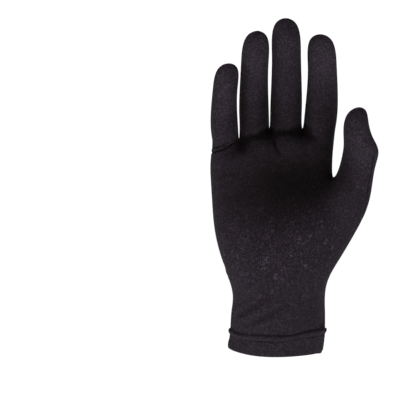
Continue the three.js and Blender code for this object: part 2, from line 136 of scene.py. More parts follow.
hemLook = {
    **knitLook,
    "colour": (0.0284, 0.0223, 0.0296, 1),
    "waleContrast": 0.3,
    "lines": [
        {"axis": "along", "at": 9.2, "half": 0.65, "dark": 0.38},  # painted shade in the crease under the roll, just below the stitches
        {"axis": "across", "at": -16.3, "half": 0.4, "dark": 0.35},  # the seam that closes the band
    ],
}


def around(tree, value, amount):  # 1 plus amount times how far a share is from a half, twice over
    return calc(tree, "MULTIPLY_ADD", calc(tree, "SUBTRACT", value, 0.5), 2 * amount, 1)


def rampUp(tree, value, low, high):
    sockets = {"Value": value, "From Min": low, "From Max": high}
    return addNode(tree, "ShaderNodeMapRange", sockets).outputs[0]


def attributeOf(tree, name):
    return addNode(tree, "ShaderNodeAttribute", attribute_name=name).outputs["Fac"]


def knitMaterial(name, look):
    material, tree = newMaterial(name)
    cloth = addNode(tree, "ShaderNodeUVMap", uv_map="cloth").outputs["UV"]
    place = addNode(tree, "ShaderNodeTexCoord").outputs["Object"]
    across, along = addNode(tree, "ShaderNodeSeparateXYZ", {0: cloth}).outputs[:2]
    drift = calc(tree, "SUBTRACT", noiseAt(tree, cloth, look["drift"][0]), 0.5)
    across = calc(tree, "MULTIPLY_ADD", drift, look["drift"][1], across)
    wales = calc(tree, "DIVIDE", across, look["wale"])
    ridge = calc(tree, "COSINE", calc(tree, "MULTIPLY", wales, math.tau))
    ridge = calc(tree, "MULTIPLY_ADD", ridge, 0.5, 0.5)
    slant = calc(tree, "PINGPONG", wales, 0.5)
    rows = calc(tree, "ADD", calc(tree, "DIVIDE", along, look["course"]), slant)
    loops = calc(tree, "COSINE", calc(tree, "MULTIPLY", rows, math.tau))
    height = calc(tree, "MULTIPLY", ridge, calc(tree, "MULTIPLY_ADD", loops, 0.25, 0.75))
    grid = addNode(tree, "ShaderNodeCombineXYZ", {0: wales, 1: rows}).outputs[0]
    cells = addNode(
        tree, "ShaderNodeTexVoronoi", {"Vector": grid, "Scale": 1.0, "Randomness": look["unevenness"]})
    ownShade = addNode(tree, "ShaderNodeSeparateXYZ", {0: cells.outputs["Color"]}).outputs[0]
    fine = addNode(tree, "ShaderNodeCombineXYZ", {
        0: calc(tree, "DIVIDE", across, look["fibre"][0]),
        1: calc(tree, "DIVIDE", along, look["fibre"][1])}).outputs[0]
    specks = addNode(tree, "ShaderNodeTexVoronoi", {"Vector": fine, "Scale": 1.0})
    grain = addNode(tree, "ShaderNodeSeparateXYZ", {0: specks.outputs["Color"]}).outputs[0]
    glints = calc(
        tree, "MULTIPLY_ADD", calc(tree, "POWER", grain, look["glint"][0]), look["glint"][1], -1)
    strays = attributeOf(tree, "stray")
    patches = noiseAt(tree, place, 1 / (look["patchSize"] * mm))
    # Stray loops lie in short bent lines, in clusters
    spacing, edge, middle = look["strayLine"]
    bent = calc(tree, "SUBTRACT", noiseAt(tree, place, 1 / (spacing * mm), 1.0), 0.5)
    threads = rampUp(tree, calc(tree, "ABSOLUTE", bent), edge, middle)
    size, edge, middle = look["strayCluster"]
    clusters = rampUp(tree, noiseAt(tree, place, 1 / (size * mm), 1.0), edge, middle)
    stray = calc(tree, "MULTIPLY", calc(tree, "MULTIPLY", threads, clusters), strays)
    contrast = calc(
        tree, "MULTIPLY_ADD", attributeOf(tree, "pulled"), look["pulledContrast"], look["waleContrast"])
    shade = calc(tree, "MULTIPLY_ADD", calc(tree, "SUBTRACT", height, look["midHeight"]), contrast, 1)
    shade = calc(tree, "MULTIPLY", shade, around(tree, ownShade, look["loops"]))
    quiet = look["quietGrain"] * look["grain"]
    busy = calc(tree, "MULTIPLY_ADD", strays, quiet, quiet)
    shade = calc(tree, "MULTIPLY", shade, calc(tree, "MULTIPLY_ADD", glints, busy, 1))
    shade = calc(tree, "MULTIPLY", shade, around(tree, patches, look["patches"]))
    shade = calc(tree, "MULTIPLY_ADD", stray, look["stray"], shade)
    # Dark lines: painted shade under the hem's roll, and the seam's own dark line
    for line in look["lines"]:
        value = {"across": across, "along": along}[line["axis"]]
        gap = calc(tree, "ABSOLUTE", calc(tree, "SUBTRACT", value, line["at"]))
        near = rampUp(tree, gap, line["half"] * 1.5, line["half"] * 0.5)
        shade = calc(tree, "MULTIPLY", shade, calc(tree, "MULTIPLY_ADD", near, -line["dark"], 1))
    # Painted light and shade: the attribute makes the cloth lighter or darker, and browner where it darkens
    # it
    paintedLight = attributeOf(tree, "paintedLight")
    shade = calc(tree, "MULTIPLY", calc(tree, "MAXIMUM", shade, look["darkest"]), paintedLight)
    mixed = addNode(
        tree, "ShaderNodeMix",
        {0: rampUp(tree, paintedLight, *look["browner"]), 6: look["shadedColour"], 7: look["colour"]},
        data_type="RGBA")
    painted = addNode(tree, "ShaderNodeVectorMath", {0: mixed.outputs[2]}, operation="SCALE")
    tree.links.new(shade, painted.inputs["Scale"])
    spread = look["roughnessSpread"]
    rough = calc(tree, "MULTIPLY_ADD", grain, spread, look["roughness"] - spread / 2)
    uneven = calc(tree, "MULTIPLY_ADD", ownShade, look["loopRelief"], height)
    bumpHeight = calc(tree, "MULTIPLY_ADD", grain, look["grainRelief"], uneven)
    bump = addNode(
        tree, "ShaderNodeBump",
        {"Height": bumpHeight, "Distance": look["relief"] * mm, "Strength": look["reliefStrength"]})
    shader = addNode(tree, "ShaderNodeBsdfPrincipled", {
        "Base Color": painted.outputs["Vector"],
        "Roughness": rough,
        "Normal": bump.outputs["Normal"],
        "Specular IOR Level": look["specular"],
        "Sheen Weight": look["sheen"],
        "Sheen Roughness": look["sheenRoughness"],
        "Sheen Tint": look["sheenTint"],
    })
    finishMaterial(tree, shader)
    return material


knitOutside = knitMaterial("knitOutside", knitLook)
knitInside = knitMaterial("knitInside", insideLook)
hemOutside = knitMaterial("hemOutside", hemLook)

# Thread of the stitches, and the darker one in the outline seam
threadLook = {
    "colour": (0.036, 0.029, 0.037),
    "twist": 0.5,  # mm
    "twistRoughness": 0.6,
    "relief": 0.1,  # mm
    "reliefStrength": 0.6,
    "roughness": 0.75,
    "specular": 0.1,
    "sheen": 0.15,
    "sheenRoughness": 0.4,
}
seamLook = {**threadLook, "colour": (0.015, 0.012, 0.0155), "specular": 0.0, "sheen": 0.04}


def threadMaterial(name, look):
    material, tree = newMaterial(name)
    place = addNode(tree, "ShaderNodeTexCoord").outputs["Object"]
    fibre = noiseAt(tree, place, 1 / (look["twist"] * mm), 2.0, look["twistRoughness"])
    colour = addNode(tree, "ShaderNodeVectorMath", {0: look["colour"]}, operation="SCALE")
    tree.links.new(calc(tree, "ADD", fibre, 0.5), colour.inputs["Scale"])
    bump = addNode(
        tree, "ShaderNodeBump",
        {"Height": fibre, "Distance": look["relief"] * mm, "Strength": look["reliefStrength"]})
    shader = addNode(tree, "ShaderNodeBsdfPrincipled", {
        "Base Color": colour.outputs["Vector"],
        "Roughness": look["roughness"],
        "Normal": bump.outputs["Normal"],
        "Specular IOR Level": look["specular"],
        "Sheen Weight": look["sheen"],
        "Sheen Roughness": look["sheenRoughness"],
    })
    finishMaterial(tree, shader)
    return material


thread = threadMaterial("thread", threadLook)
seamThread = threadMaterial("seamThread", seamLook)
print("materials made")


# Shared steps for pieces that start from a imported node
copySettings = {
    "mergeAt": 1e-5,  # m
    "joinAngle": 80,  # degrees: flatter pairs of triangles become four-sided faces
    "joinInfluence": 1.6,  # how much a regular grid counts in choosing the pairs
}


def quadCopy(node, settings):
    bm = bmesh.new()
    bm.from_mesh(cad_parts[node].data)
    bmesh.ops.remove_doubles(bm, verts=bm.verts, dist=settings["mergeAt"])
    limit = math.radians(settings["joinAngle"])
    bmesh.ops.join_triangles(
        bm, faces=bm.faces, angle_face_threshold=limit, angle_shape_threshold=limit,
        topology_influence=settings["joinInfluence"])
    bm.faces.index_update()
    return bm


# Groups of faces, largest first, that can be reached from one another over the edges allowed
def connected(bm, mayCross):
    part = {}
    count = 0
    for face in bm.faces:
        if face in part:
            continue
        part[face] = count
        todo = [face]
        while todo:
            for edge in todo.pop().edges:
                for other in edge.link_faces:
                    if other not in part and mayCross(edge):
                        part[other] = count
                        todo.append(other)
        count += 1
    groups = [[] for _ in range(count)]
    for face, index in part.items():
        groups[index].append(face)
    return sorted(groups, key=len, reverse=True)


def sewnObject(name, bm, materials):
    mesh = bpy.data.meshes.new(name)
    bm.to_mesh(mesh)
    bm.free()
    for material in materials:
        mesh.materials.append(material)
    made = bpy.data.objects.new(name, mesh)
    scene.collection.objects.link(made)
    return made


def subdivided(obj, levels):
    modifier = obj.modifiers.new("smooth", "SUBSURF")
    modifier.levels = modifier.render_levels = levels
    modifier.uv_smooth = "PRESERVE_BOUNDARIES"
    bpy.context.view_layer.update()
    fine = bpy.data.meshes.new_from_object(
        obj.evaluated_get(bpy.context.evaluated_depsgraph_get()))
    obj.modifiers.clear()
    old = obj.data
    obj.data = fine
    bpy.data.meshes.remove(old)
    fine.name = obj.name
    obj.data.shade_smooth()


def placesOf(mesh):
    flat = np.empty(len(mesh.vertices) * 3)
    mesh.vertices.foreach_get("co", flat)
    return flat.reshape(-1, 3) / mm


def setPlaces(mesh, places):
    mesh.vertices.foreach_set("co", (places * mm).ravel())
    mesh.update()


# Normals from the faces of one material only, so that a wall's edge doesn't turn them
def sheetNormals(mesh, slot):
    normals = np.zeros((len(mesh.vertices), 3))
    for polygon in mesh.polygons:
        if polygon.material_index == slot:
            normal = np.array(polygon.normal) * polygon.area
            for vertex in polygon.vertices:
                normals[vertex] += normal
    lengths = np.linalg.norm(normals, axis=1)
    found = lengths > 0
    normals[found] /= lengths[found, None]
    return normals, found


# Folds and creases. A line is a few points (x, z, half width, depth) in mm. lip is how high the
# cloth rises beside it, as a share of the depth, and ends the length over which it fades. turn is
# how squarely the cloth has to face the side to have any of it, edge how steep its walls are and
# dark the share of the cloth's colour that it takes away: painted shade in the crease, and on the
# thumb seam the seam's own dark line as well.
folds = [
    {"name": "roots of the fingers", "side": "palm",
     "turn": 0.1, "edge": 3, "lip": 0.1, "ends": 5, "dark": 0.44,
     "line": [
         (-31, 140.6, 4.2, 1.2), (-27, 142.6, 5.2, 2.2), (-23, 145.0, 4.8, 2.0),
         (-18.5, 147.2, 2.8, 1.7), (-13.7, 147.7, 2.9, 1.8), (-10, 149.4, 4.4, 2.3),
         (-6, 150.2, 5.4, 3.0), (-2.2, 149.6, 4.0, 2.5), (1.5, 150.5, 2.5, 1.8), (6, 150.6, 2.4, 1.7),
         (10, 150.9, 3.5, 1.9), (13.5, 151.4, 4.4, 2.3), (16.5, 151.2, 5.0, 2.7),
         (19.5, 150.9, 5.0, 2.1), (22, 148.5, 2.4, 1.4), (28.5, 146.3, 0.8, 0.6)]},
    {"name": "between the pads", "side": "palm",
     "turn": 0.1, "edge": 2, "lip": 0.2, "ends": 6, "dark": 0.5,
     "line": [(-3.2, 149, 2.2, 2.0), (-2.6, 144, 1.3, 1.2), (-1, 139, 1.2, 0.5), (3, 133, 2.0, 0.3)]},
    {"name": "little finger crease", "side": "palm",
     "turn": -0.7, "edge": 2, "lip": 0.5, "ends": 4, "dark": 0.5,
     "line": [
         (-49, 137.0, 0.8, 0.35), (-44, 137.8, 0.8, 0.7), (-36, 140.3, 0.8, 0.9),
         (-29.5, 144.5, 0.9, 1.2)]},
    {"name": "second crease", "side": "palm",
     "turn": -0.5, "edge": 2, "lip": 0.4, "ends": 3, "dark": 0.5,
     "line": [(-47, 140.8, 0.6, 0.2), (-41, 141.3, 0.6, 0.4), (-35, 143.2, 0.6, 0.4)]},
    {"name": "side of the palm", "side": "palm",
     "turn": -0.4, "edge": 2, "lip": 0.5, "ends": 8, "dark": 0.25,
     "line": [(-48, 119.0, 1.5, 0.5), (-37.8, 121.5, 1.5, 0.5), (-25, 121.6, 1.8, 0.3)]},
    {"name": "wrist, lower", "side": "palm",
     "turn": -0.2, "edge": 2, "lip": 0.6, "ends": 7, "dark": 0.2,
     "line": [(-31, 22.0, 1.8, 0.5), (-26, 25.5, 1.8, 0.8), (-13.6, 33.6, 1.8, 0.8), (-2, 40.5, 2.0, 0.6)]},
    {"name": "wrist, upper", "side": "palm",
     "turn": 0.0, "edge": 2, "lip": 0.6, "ends": 7, "dark": 0.2,
     "line": [(-24, 16.5, 1.8, 0.5), (-12, 23.0, 1.8, 0.7), (0, 29.5, 1.8, 0.6), (9, 33, 1.8, 0.4)]},
    {"name": "thumb seam", "side": "palm",
     "turn": -0.3, "edge": 2, "lip": 0.3, "ends": 5, "dark": 0.45,
     "line": [
         (65, 138.0, 0.5, 0.3), (64.6, 130.5, 0.5, 0.35), (61.1, 113.0, 0.5, 0.35),
         (59.3, 99.0, 0.5, 0.3), (56, 88, 0.5, 0.2)]},
    {"name": "ring finger joint", "side": "palm",
     "turn": 0.0, "edge": 2, "lip": 0.5, "ends": 4, "dark": 0.12,
     "line": [(-25.5, 170.6, 1.6, 0.4), (-16, 171.4, 1.6, 0.4), (-7, 170.8, 1.6, 0.4)]},
    {"name": "ring fingertip", "side": "palm",
     "turn": -0.3, "edge": 2, "lip": 0.5, "ends": 2, "dark": 0.25,
     "line": [(-20, 212, 0.6, 0.2), (-16, 217.5, 0.7, 0.3), (-11.5, 220.5, 0.6, 0.2)]},
    {"name": "little finger joint", "side": "palm",
     "turn": 0.0, "edge": 2, "lip": 0.5, "ends": 4, "dark": 0.1,
     "line": [(-46.5, 172.8, 1.6, 0.35), (-38, 173.4, 1.6, 0.35), (-29.5, 173, 1.6, 0.35)]},
    {"name": "wrist crease", "side": "back",
     "turn": -0.5, "edge": 2, "lip": 0.8, "ends": 6, "dark": 0.35,
     "line": [(-37, 52, 1.0, 0.6), (-16, 52, 1.0, 0.6), (12, 52.5, 1.0, 0.6), (34, 58, 1.0, 0.6)]},
    {"name": "wrist fold", "side": "back",
     "turn": -0.5, "edge": 2, "lip": 0.6, "ends": 8, "dark": 0.3,
     "line": [(-40, 60, 2.6, 0.8), (-26, 58, 2.6, 0.8), (-10, 58.5, 2.6, 0.8)]},
]

# Spots on the cloth: x, z is the middle in mm, and wide, up and down say how far one spreads
spotColumns = ("side", "x", "z", "wide", "up", "down", "amount")


def spotRows(*rows):
    return [dict(zip(spotColumns, row)) for row in rows]


# Broad rises and hollows, with their height in mm
swells = spotRows(
    ("palm", 14, 128, 30, 8, 26, -2.6),  # hollow of the palm
    ("palm", -15, 141, 9, 4, 5, 0.9),  # pad under the ring finger
    ("palm", 3, 144.5, 6, 3.5, 6, 0.9),  # pad under the middle finger
    ("palm", 14, 141, 8, 5, 5, 1.1),  # pad under the index finger
    ("palm", -18, 153, 7, 8, 4, 0.6),  # foot of the ring finger
    ("palm", 5.5, 156, 7, 8, 4, 0.6),  # foot of the middle finger
    ("palm", 28, 153, 7, 8, 5, 0.5),  # foot of the index finger
    ("back", -19, 40, 9, 7, 7, -0.9),  # dent of the wrist
    ("back", -32, 141, 3.2, 8, 9, -1.3),  # valley by the little finger
    ("back", -7, 141, 3.2, 8, 9, -1.3),  # valley by the ring finger
    ("back", 19, 141, 3.2, 8, 9, -1.3),  # valley by the index finger
)


def smoothLine(points, perSpan=10):
    line = np.array(points, float)
    ends = [2 * line[0] - line[1], *line, 2 * line[-1] - line[-2]]
    out = []
    for a, b, c, d in zip(ends, ends[1:], ends[2:], ends[3:]):
        for t in np.linspace(0, 1, perSpan, endpoint=False):
            out.append(0.5 * (
                2 * b + (c - a) * t + (2 * a - 5 * b + 4 * c - d) * t * t
                + (3 * b - a - 3 * c + d) * t ** 3))
    out.append(line[-1])
    return np.array(out)


# For each spot: how far it is from a line and from the line's nearer end, and the half width and
# depth there
def nearLine(points, spots):
    line = smoothLine(points)
    steps = np.linalg.norm(np.diff(line[:, :2], axis=0), axis=1)
    along = np.concatenate([[0], np.cumsum(steps)])
    gap = np.full(len(spots), 1e9)
    where = np.zeros(len(spots))
    for i, step in enumerate(steps):
        start, direction = line[i, :2], (line[i + 1, :2] - line[i, :2]) / step
        t = np.clip((spots - start) @ direction, 0, step)
        away = np.linalg.norm(spots - start - t[:, None] * direction, axis=1)
        closer = away < gap
        gap[closer], where[closer] = away[closer], (along[i] + t)[closer]
    fromEnd = np.minimum(where, along[-1] - where)
    return gap, fromEnd, np.interp(where, along, line[:, 2]), np.interp(where, along, line[:, 3])


def smoothShare(value):
    share = np.clip(value, 0, 1)
    return share * share * (3 - 2 * share)


def facingOf(side, normals):
    return {"palm": -normals[:, 1], "back": normals[:, 1], "both": np.ones(len(normals))}[side]


def nearIndex(fold, places, reach):
    low, high = np.min(fold["line"], axis=0)[:2] - reach, np.max(fold["line"], axis=0)[:2] + reach
    spots = places[:, [0, 2]]
    return np.flatnonzero((spots > low).all(1) & (spots < high).all(1))


foldShape = {
    "reach": 12,  # mm
    "turnOver": 0.45,  # how gradually a fold fades as the cloth turns away
    "darkNarrower": 0.95,
    "lipAt": 2.1,  # half widths from the line to the top of the lip
    "lipWide": 0.9,
}


# Which corners a fold reaches, how much it lifts each one, and how much painted shade darkens it
def foldShares(fold, places, normals, shape=foldShape):
    index = nearIndex(fold, places, shape["reach"])
    gap, fromEnd, width, depth = nearLine(fold["line"], places[index][:, [0, 2]])
    ratio = gap / width
    turned = smoothShare((facingOf(fold["side"], normals[index]) - fold["turn"]) / shape["turnOver"])
    turned *= smoothShare(fromEnd / fold["ends"])
    dip = np.exp(-ratio ** fold["edge"]) * turned
    # painted shade in the fold
    dark = np.exp(-(ratio * shape["darkNarrower"]) ** (2 * fold["edge"])) * turned * fold["dark"]
    lip = fold["lip"] * np.exp(-((ratio - shape["lipAt"]) / shape["lipWide"]) ** 2) * turned
    return index, (lip - dip) * depth, dark


def spotAmount(spot, places):
    dx = (places[:, 0] - spot["x"]) / spot["wide"]
    dz = places[:, 2] - spot["z"]
    dz = np.where(dz > 0, dz / spot["up"], dz / spot["down"])
    return np.exp(-dx ** 2 - dz ** 2)


def clothRelief(places, normals, proud, shares):
    amount = np.full(len(places), proud)
    for index, lift, _ in shares:
        amount[index] += lift
    for swell in swells:
        facing = np.clip(facingOf(swell["side"], normals), 0, 1)
        amount += swell["amount"] * facing * spotAmount(swell, places)
    return amount


# Painted light and shade on the cloth, and where its wales and its stray loops show. The amount is
# added, and for the painted light it is a share: how much lighter, or below 0 darker, the cloth is painted.
clothSpots = {
    # Painted shade and painted light: darker in the palm's hollow, below and between the fingers and down
    # the index finger's outer side; lighter on the pads, the ends of the fingers and thumb, the ball of the
    # thumb and below the knuckles
    "paintedLight": spotRows(
        ("palm", 2, 113, 37, 36, 32, -0.68),  # hollow of the palm
        ("palm", -32, 106, 12, 16, 22, -0.2),  # little finger's side of the palm
        ("palm", -32, 138, 7, 4, 6, -0.4),  # below the little finger
        ("palm", -18, 139, 4, 4, 6, -0.3),  # below the ring finger
        ("palm", 26, 122, 20, 16, 14, -0.4),  # deepest part of the hollow
        ("palm", 38, 121, 13, 22, 11, -0.5),  # beside the thumb's crotch
        ("palm", 33, 168, 9, 12, 14, -0.18),  # foot of the index finger
        ("palm", 28, 88, 14, 12, 14, 0.25),  # ball of the thumb
        ("palm", -24, 142, 5, 6, 7, -0.3),  # left end of the root fold
        ("palm", -14, 142, 7, 5, 6, 0.3),  # pad of the ring finger
        ("palm", 10, 142, 9, 5, 6, 0.35),  # pad of the middle finger
        ("both", -26.2, 165, 5, 28, 22, -0.68),  # between little and ring finger
        ("both", -6, 165, 6, 28, 22, -0.68),  # between ring and middle finger
        ("both", 17, 165, 5.5, 28, 22, -0.68),  # between middle and index finger
        ("palm", 39, 140, 6, 24, 20, -0.7),  # index finger's outer side
        ("palm", 0, 158, 40, 14, 8, -0.22),  # feet of the fingers
        ("palm", 34, 200, 9, 18, 14, 0.5),  # end of the index finger
        ("palm", 5, 206, 8, 12, 14, 0.18),  # end of the middle finger
        ("palm", 8, 223, 5, 6, 5, -0.2),  # tip of the middle finger
        ("palm", -14, 196, 8, 16, 14, 0.35),  # end of the ring finger
        ("palm", -36, 172, 7, 16, 14, 0.4),  # middle of the little finger
        ("palm", 58, 136, 12, 18, 20, 0.42),  # end of the thumb
        ("back", 14, 118, 20, 8, 8, 0.3),  # back of the hand, below the knuckles
    ),
    "pulled": spotRows(
        ("palm", -18, 118, 20, 16, 18, 1.0),
    ),
    "stray": spotRows(
        ("palm", 5, 74, 34, 22, 26, 1.0),
        ("back", 5, 100, 36, 22, 26, 0.8),
    ),
}
spotBase = {"paintedLight": 1.0, "pulled": 0.0, "stray": 0.25}
spotWrap = 0.6  # how far a spot reaches round the sides of the hand


def clothSpot(kind, places, normals, shares):
    value = np.full(len(places), spotBase[kind])
    if kind == "paintedLight":
        # painted shade in the folds darkens the cloth
        for index, _, dark in shares:
            value[index] *= 1 - dark
    for spot in clothSpots[kind]:
        weight = np.clip(facingOf(spot["side"], normals) + spotWrap, 0, 1)
        share = spot["amount"] * weight * spotAmount(spot, places)
        value = value * (1 + share) if kind == "paintedLight" else value + share
    return value


def setAttribute(mesh, name, values):
    attribute = mesh.attributes.new(name, "FLOAT", "POINT")
    attribute.data.foreach_set("value", np.asarray(values, np.float32))


# Flat map of the cloth in mm. At each corner of the mesh "across" points round the hand and
# "upwards" up it; the map is the one whose steps along the edges come closest to those directions.
# leastAcross keeps "across" steady where the cloth faces straight up or down.
def layOutCloth(bm, outer, leastAcross=0.05):
    count = len(bm.verts)
    bm.verts.index_update()
    places = np.array([v.co for v in bm.verts]) / mm
    normals = np.zeros((count, 3))
    for face in bm.faces:
        if face[outer] < 2:
            turned = np.array(face.normal) * face.calc_area() * (1 if face[outer] == 0 else -1)
            for v in face.verts:
                normals[v.index] += turned
    normals /= np.linalg.norm(normals, axis=1)[:, None]
    across = np.cross((0, 0, 1), normals)
    across /= np.maximum(np.linalg.norm(across, axis=1), leastAcross)[:, None]
    upwards = np.cross(normals, across)
    ends = np.array([[e.verts[0].index, e.verts[1].index] for e in bm.edges])
    a, b = ends.T
    step = places[b] - places[a]
    laplacian = np.zeros((count, count))
    np.add.at(laplacian, (a, a), 1)
    np.add.at(laplacian, (b, b), 1)
    np.add.at(laplacian, (a, b), -1)
    np.add.at(laplacian, (b, a), -1)
    pull = np.zeros((count, 2))
    for axis, direction in enumerate((across, upwards)):
        wanted = (step * (direction[a] + direction[b]) / 2).sum(1)
        np.add.at(pull[:, axis], b, wanted)
        np.add.at(pull[:, axis], a, -wanted)
    laplacian[0] = 0
    laplacian[0, 0] = 1
    pull[0] = places[0][[0, 2]]
    spots = np.linalg.solve(laplacian, pull)
    layer = bm.loops.layers.uv.new("cloth")
    for face in bm.faces:
        for loop in face.loops:
            loop[layer].uv = spots[loop.vert.index]
    onOuter = sorted({v.index for face in bm.faces if face[outer] == 0 for v in face.verts})
    return np.ptp(spots[onOuter], axis=0)


# Finer faces along the thin creases, on the outer sheet only
def refineCreases(mesh, reach, finest):
    bm = bmesh.new()
    bm.from_mesh(mesh)
    bm.verts.index_update()
    places = np.array([v.co for v in bm.verts]) / mm
    close = np.zeros(len(places), bool)
    for fold in folds:
        index = nearIndex(fold, places, reach)
        gap, _, width, _ = nearLine(fold["line"], places[index][:, [0, 2]])
        close[index[(gap < reach) & (width < finest)]] = True
    outer = {e for f in bm.faces if f.material_index == 0 for e in f.edges}
    chosen = [e for e in bm.edges if e in outer and all(close[v.index] for v in e.verts)]
    bmesh.ops.subdivide_edges(bm, edges=chosen, cuts=1, use_grid_fill=True)
    bm.to_mesh(mesh)
    bm.free()
    mesh.shade_smooth()


panelSettings = {
    "wallCorner": 52,  # degrees: a sharper edge is where the sheet ends
    "outerCrease": 0.55,
    "innerCrease": 0.9,
    "levels": 2,
    "finerWithin": 2.6,  # mm from a crease
    "finerBelow": 1.45,  # for creases with a half width under this
    "proud": 0.22,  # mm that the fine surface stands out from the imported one
    "flat": (0.150, 0.232),  # m
    "area": 0.0222,  # square metres
}


def clothPanel(node, name, outwards, settings):
    bm = quadCopy(node, copySettings)
    part = bm.faces.layers.int.new("sheetPart")
    crease = bm.edges.layers.float.new("crease_edge")
    corner = math.radians(settings["wallCorner"])
    groups = connected(bm, lambda edge: edge.calc_face_angle() < corner)
    reach = [max(f.calc_center_median().y * outwards for f in g) for g in groups[:2]]
    outer, inner = (groups[0], groups[1]) if reach[0] > reach[1] else (groups[1], groups[0])
    outer, inner = set(outer), set(inner)
    for face in bm.faces:
        face[part] = 0 if face in outer else 1 if face in inner else 2
        face.material_index = 0 if face in outer else 1
    for edge in bm.edges:
        sides = {face[part] for face in edge.link_faces}
        if len(sides) > 1:
            edge[crease] = settings["outerCrease"] if 0 in sides else settings["innerCrease"]
    flat = layOutCloth(bm, part)
    panel = sewnObject(name, bm, [knitOutside, knitInside])
    subdivided(panel, settings["levels"])
    mesh = panel.data
    refineCreases(mesh, settings["finerWithin"], settings["finerBelow"])
    places = placesOf(mesh)
    normals, onOuter = sheetNormals(mesh, 0)
    outerIndex = np.flatnonzero(onOuter)
    tree = KDTree(len(outerIndex))
    for i in outerIndex:
        tree.insert(places[i], int(i))
    tree.balance()
    nearest = np.arange(len(places))
    for i in np.flatnonzero(~onOuter):
        nearest[i] = tree.find(places[i])[1]
    shares = [foldShares(fold, places, normals) for fold in folds]
    amount = clothRelief(places, normals, settings["proud"], shares)
    setPlaces(mesh, places + (normals * amount[:, None])[nearest])
    for kind in clothSpots:
        setAttribute(mesh, kind, clothSpot(kind, places, normals, shares)[nearest])
    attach(panel, "root")
    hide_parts(node)
    print(
        name, "faces", len(mesh.polygons), "flat", flat.round(1),
        "area", round(sum(p.area for p in mesh.polygons if p.material_index == 0), 5))
    return panel


palmPanel = clothPanel("palm_panel", "palmPanel", -1, panelSettings)
backPanel = clothPanel("back_panel", "backPanel", 1, panelSettings)
print("panels made")


# Hem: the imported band, rounded, with the stitch line drawn in below its roll
hemSettings = {
    "levels": 2,
    "stitchDrop": 3.4,  # mm from the top of the roll down to the stitches
    "stitchDip": 0.35,
    "stitchWide": 0.7,
    "upperFrom": (3, 5),  # mm above the rim where the upper part begins, and over which it blends
    "corner": {"turn": -12, "spread": 16, "out": 0.8, "down": 0.9},  # of the rim, degrees and mm
    "left": {"out": 0.8, "over": 20, "from": 0.8},  # the band is wider at the little finger's side
    "rollWave": [(-137, 14, -0.9), (-100, 22, 0.9), (-70, 14, 0.4)],  # turn, spread, rise in mm
    "around": 178.0,  # mm once round the band
    "stitchesAt": 10,  # mm up the cloth map
    # the hem has no painted light or shade: its share stays 1
    "paintedLight": 1.0,
    "seamSide": -33,  # degrees round the band from the thumb's side, towards the palm
    "seamDip": 0.3,
    "seamWide": 0.8,
}
bandSize = (34, 22.5)  # mm, half the band's width and depth


def angleOf(places):
    return np.arctan2(places[:, 1] / bandSize[1], places[:, 0] / bandSize[0])


# The heights of the rim (pick is min) or of the top of the roll (max) at even steps round the band
def edgeHeights(places, pick, count=180, reach=math.tau / 36, blur=3.0):
    turns = angleOf(places)
    heights = np.array([
        pick(places[np.abs(np.angle(np.exp(1j * (turns - t)))) < reach, 2])
        for t in np.linspace(-math.pi, math.pi, count, endpoint=False)])
    spread = np.exp(-((np.arange(count) - count // 2) / blur) ** 2)
    spread = np.roll(spread / spread.sum(), -(count // 2))
    return np.fft.ifft(np.fft.fft(heights) * np.fft.fft(spread)).real


def heightAt(heights, turns):
    at = (turns + math.pi) / math.tau * len(heights)
    return np.interp(at, np.arange(len(heights) + 1), np.append(heights, heights[0]))


def waveAt(turns, settings):  # turns in degrees
    return sum(
        rise * np.exp(-((turns - turn) / spread) ** 2)
        for turn, spread, rise in settings["rollWave"])


def cuffHem(settings):
    bm = quadCopy("cuff_hem", copySettings)
    hem = sewnObject("hem", bm, [hemOutside])
    subdivided(hem, settings["levels"])
    mesh = hem.data
    places = placesOf(mesh)
    rim, top = edgeHeights(places, np.min), edgeHeights(places, np.max)
    stitchLine = top - settings["stitchDrop"]
    normals, _ = sheetNormals(mesh, 0)
    turns = angleOf(places)
    wave = waveAt(np.degrees(turns), settings)
    begins, blend = settings["upperFrom"]
    upper = smoothShare((places[:, 2] - heightAt(rim, turns) - begins) / blend)
    fromStitches = places[:, 2] - heightAt(stitchLine, turns)
    outwards = np.stack([np.cos(turns), np.sin(turns)], 1)
    facing = np.clip((normals[:, :2] * outwards).sum(1), 0, 1)
    fromSeam = (turns - math.radians(settings["seamSide"])) * bandSize[1]
    dip = settings["stitchDip"] * np.exp(-(fromStitches / settings["stitchWide"]) ** 2)
    dip += settings["seamDip"] * np.exp(-(fromSeam / settings["seamWide"]) ** 2)
    places -= normals * (dip * facing)[:, None]
    places[:, 2] += wave * upper
    left, corner = settings["left"], settings["corner"]
    places[:, 0] -= (
        left["out"] * smoothShare(-places[:, 0] / left["over"] - left["from"]) * (1 - upper))
    nearCorner = np.exp(-((np.degrees(turns) - corner["turn"]) / corner["spread"]) ** 2) * (1 - upper)
    places[:, 0] += corner["out"] * nearCorner
    places[:, 2] -= corner["down"] * nearCorner
    setPlaces(mesh, places)
    height = fromStitches + settings["stitchesAt"]
    cuts = np.degrees(np.linspace(-math.pi, math.pi, len(stitchLine), endpoint=False))
    stitchLine += waveAt(cuts, settings)
    layer = mesh.uv_layers.new(name="cloth")
    for polygon in mesh.polygons:
        spots = [turns[v] for v in polygon.vertices]
        wraps = max(spots) - min(spots) > math.pi
        for loop, v, turn in zip(polygon.loop_indices, polygon.vertices, spots):
            turn = turn + math.tau if wraps and turn < 0 else turn
            layer.uv[loop].vector = (turn / math.tau * settings["around"], height[v])
    setAttribute(mesh, "paintedLight", np.full(len(places), settings["paintedLight"]))
    setAttribute(mesh, "stray", np.full(len(places), spotBase["stray"]))
    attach(hem, "root")
    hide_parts("cuff_hem")
    return hem, stitchLine


hem, stitchLine = cuffHem(hemSettings)
print("hem made", len(hem.data.polygons))


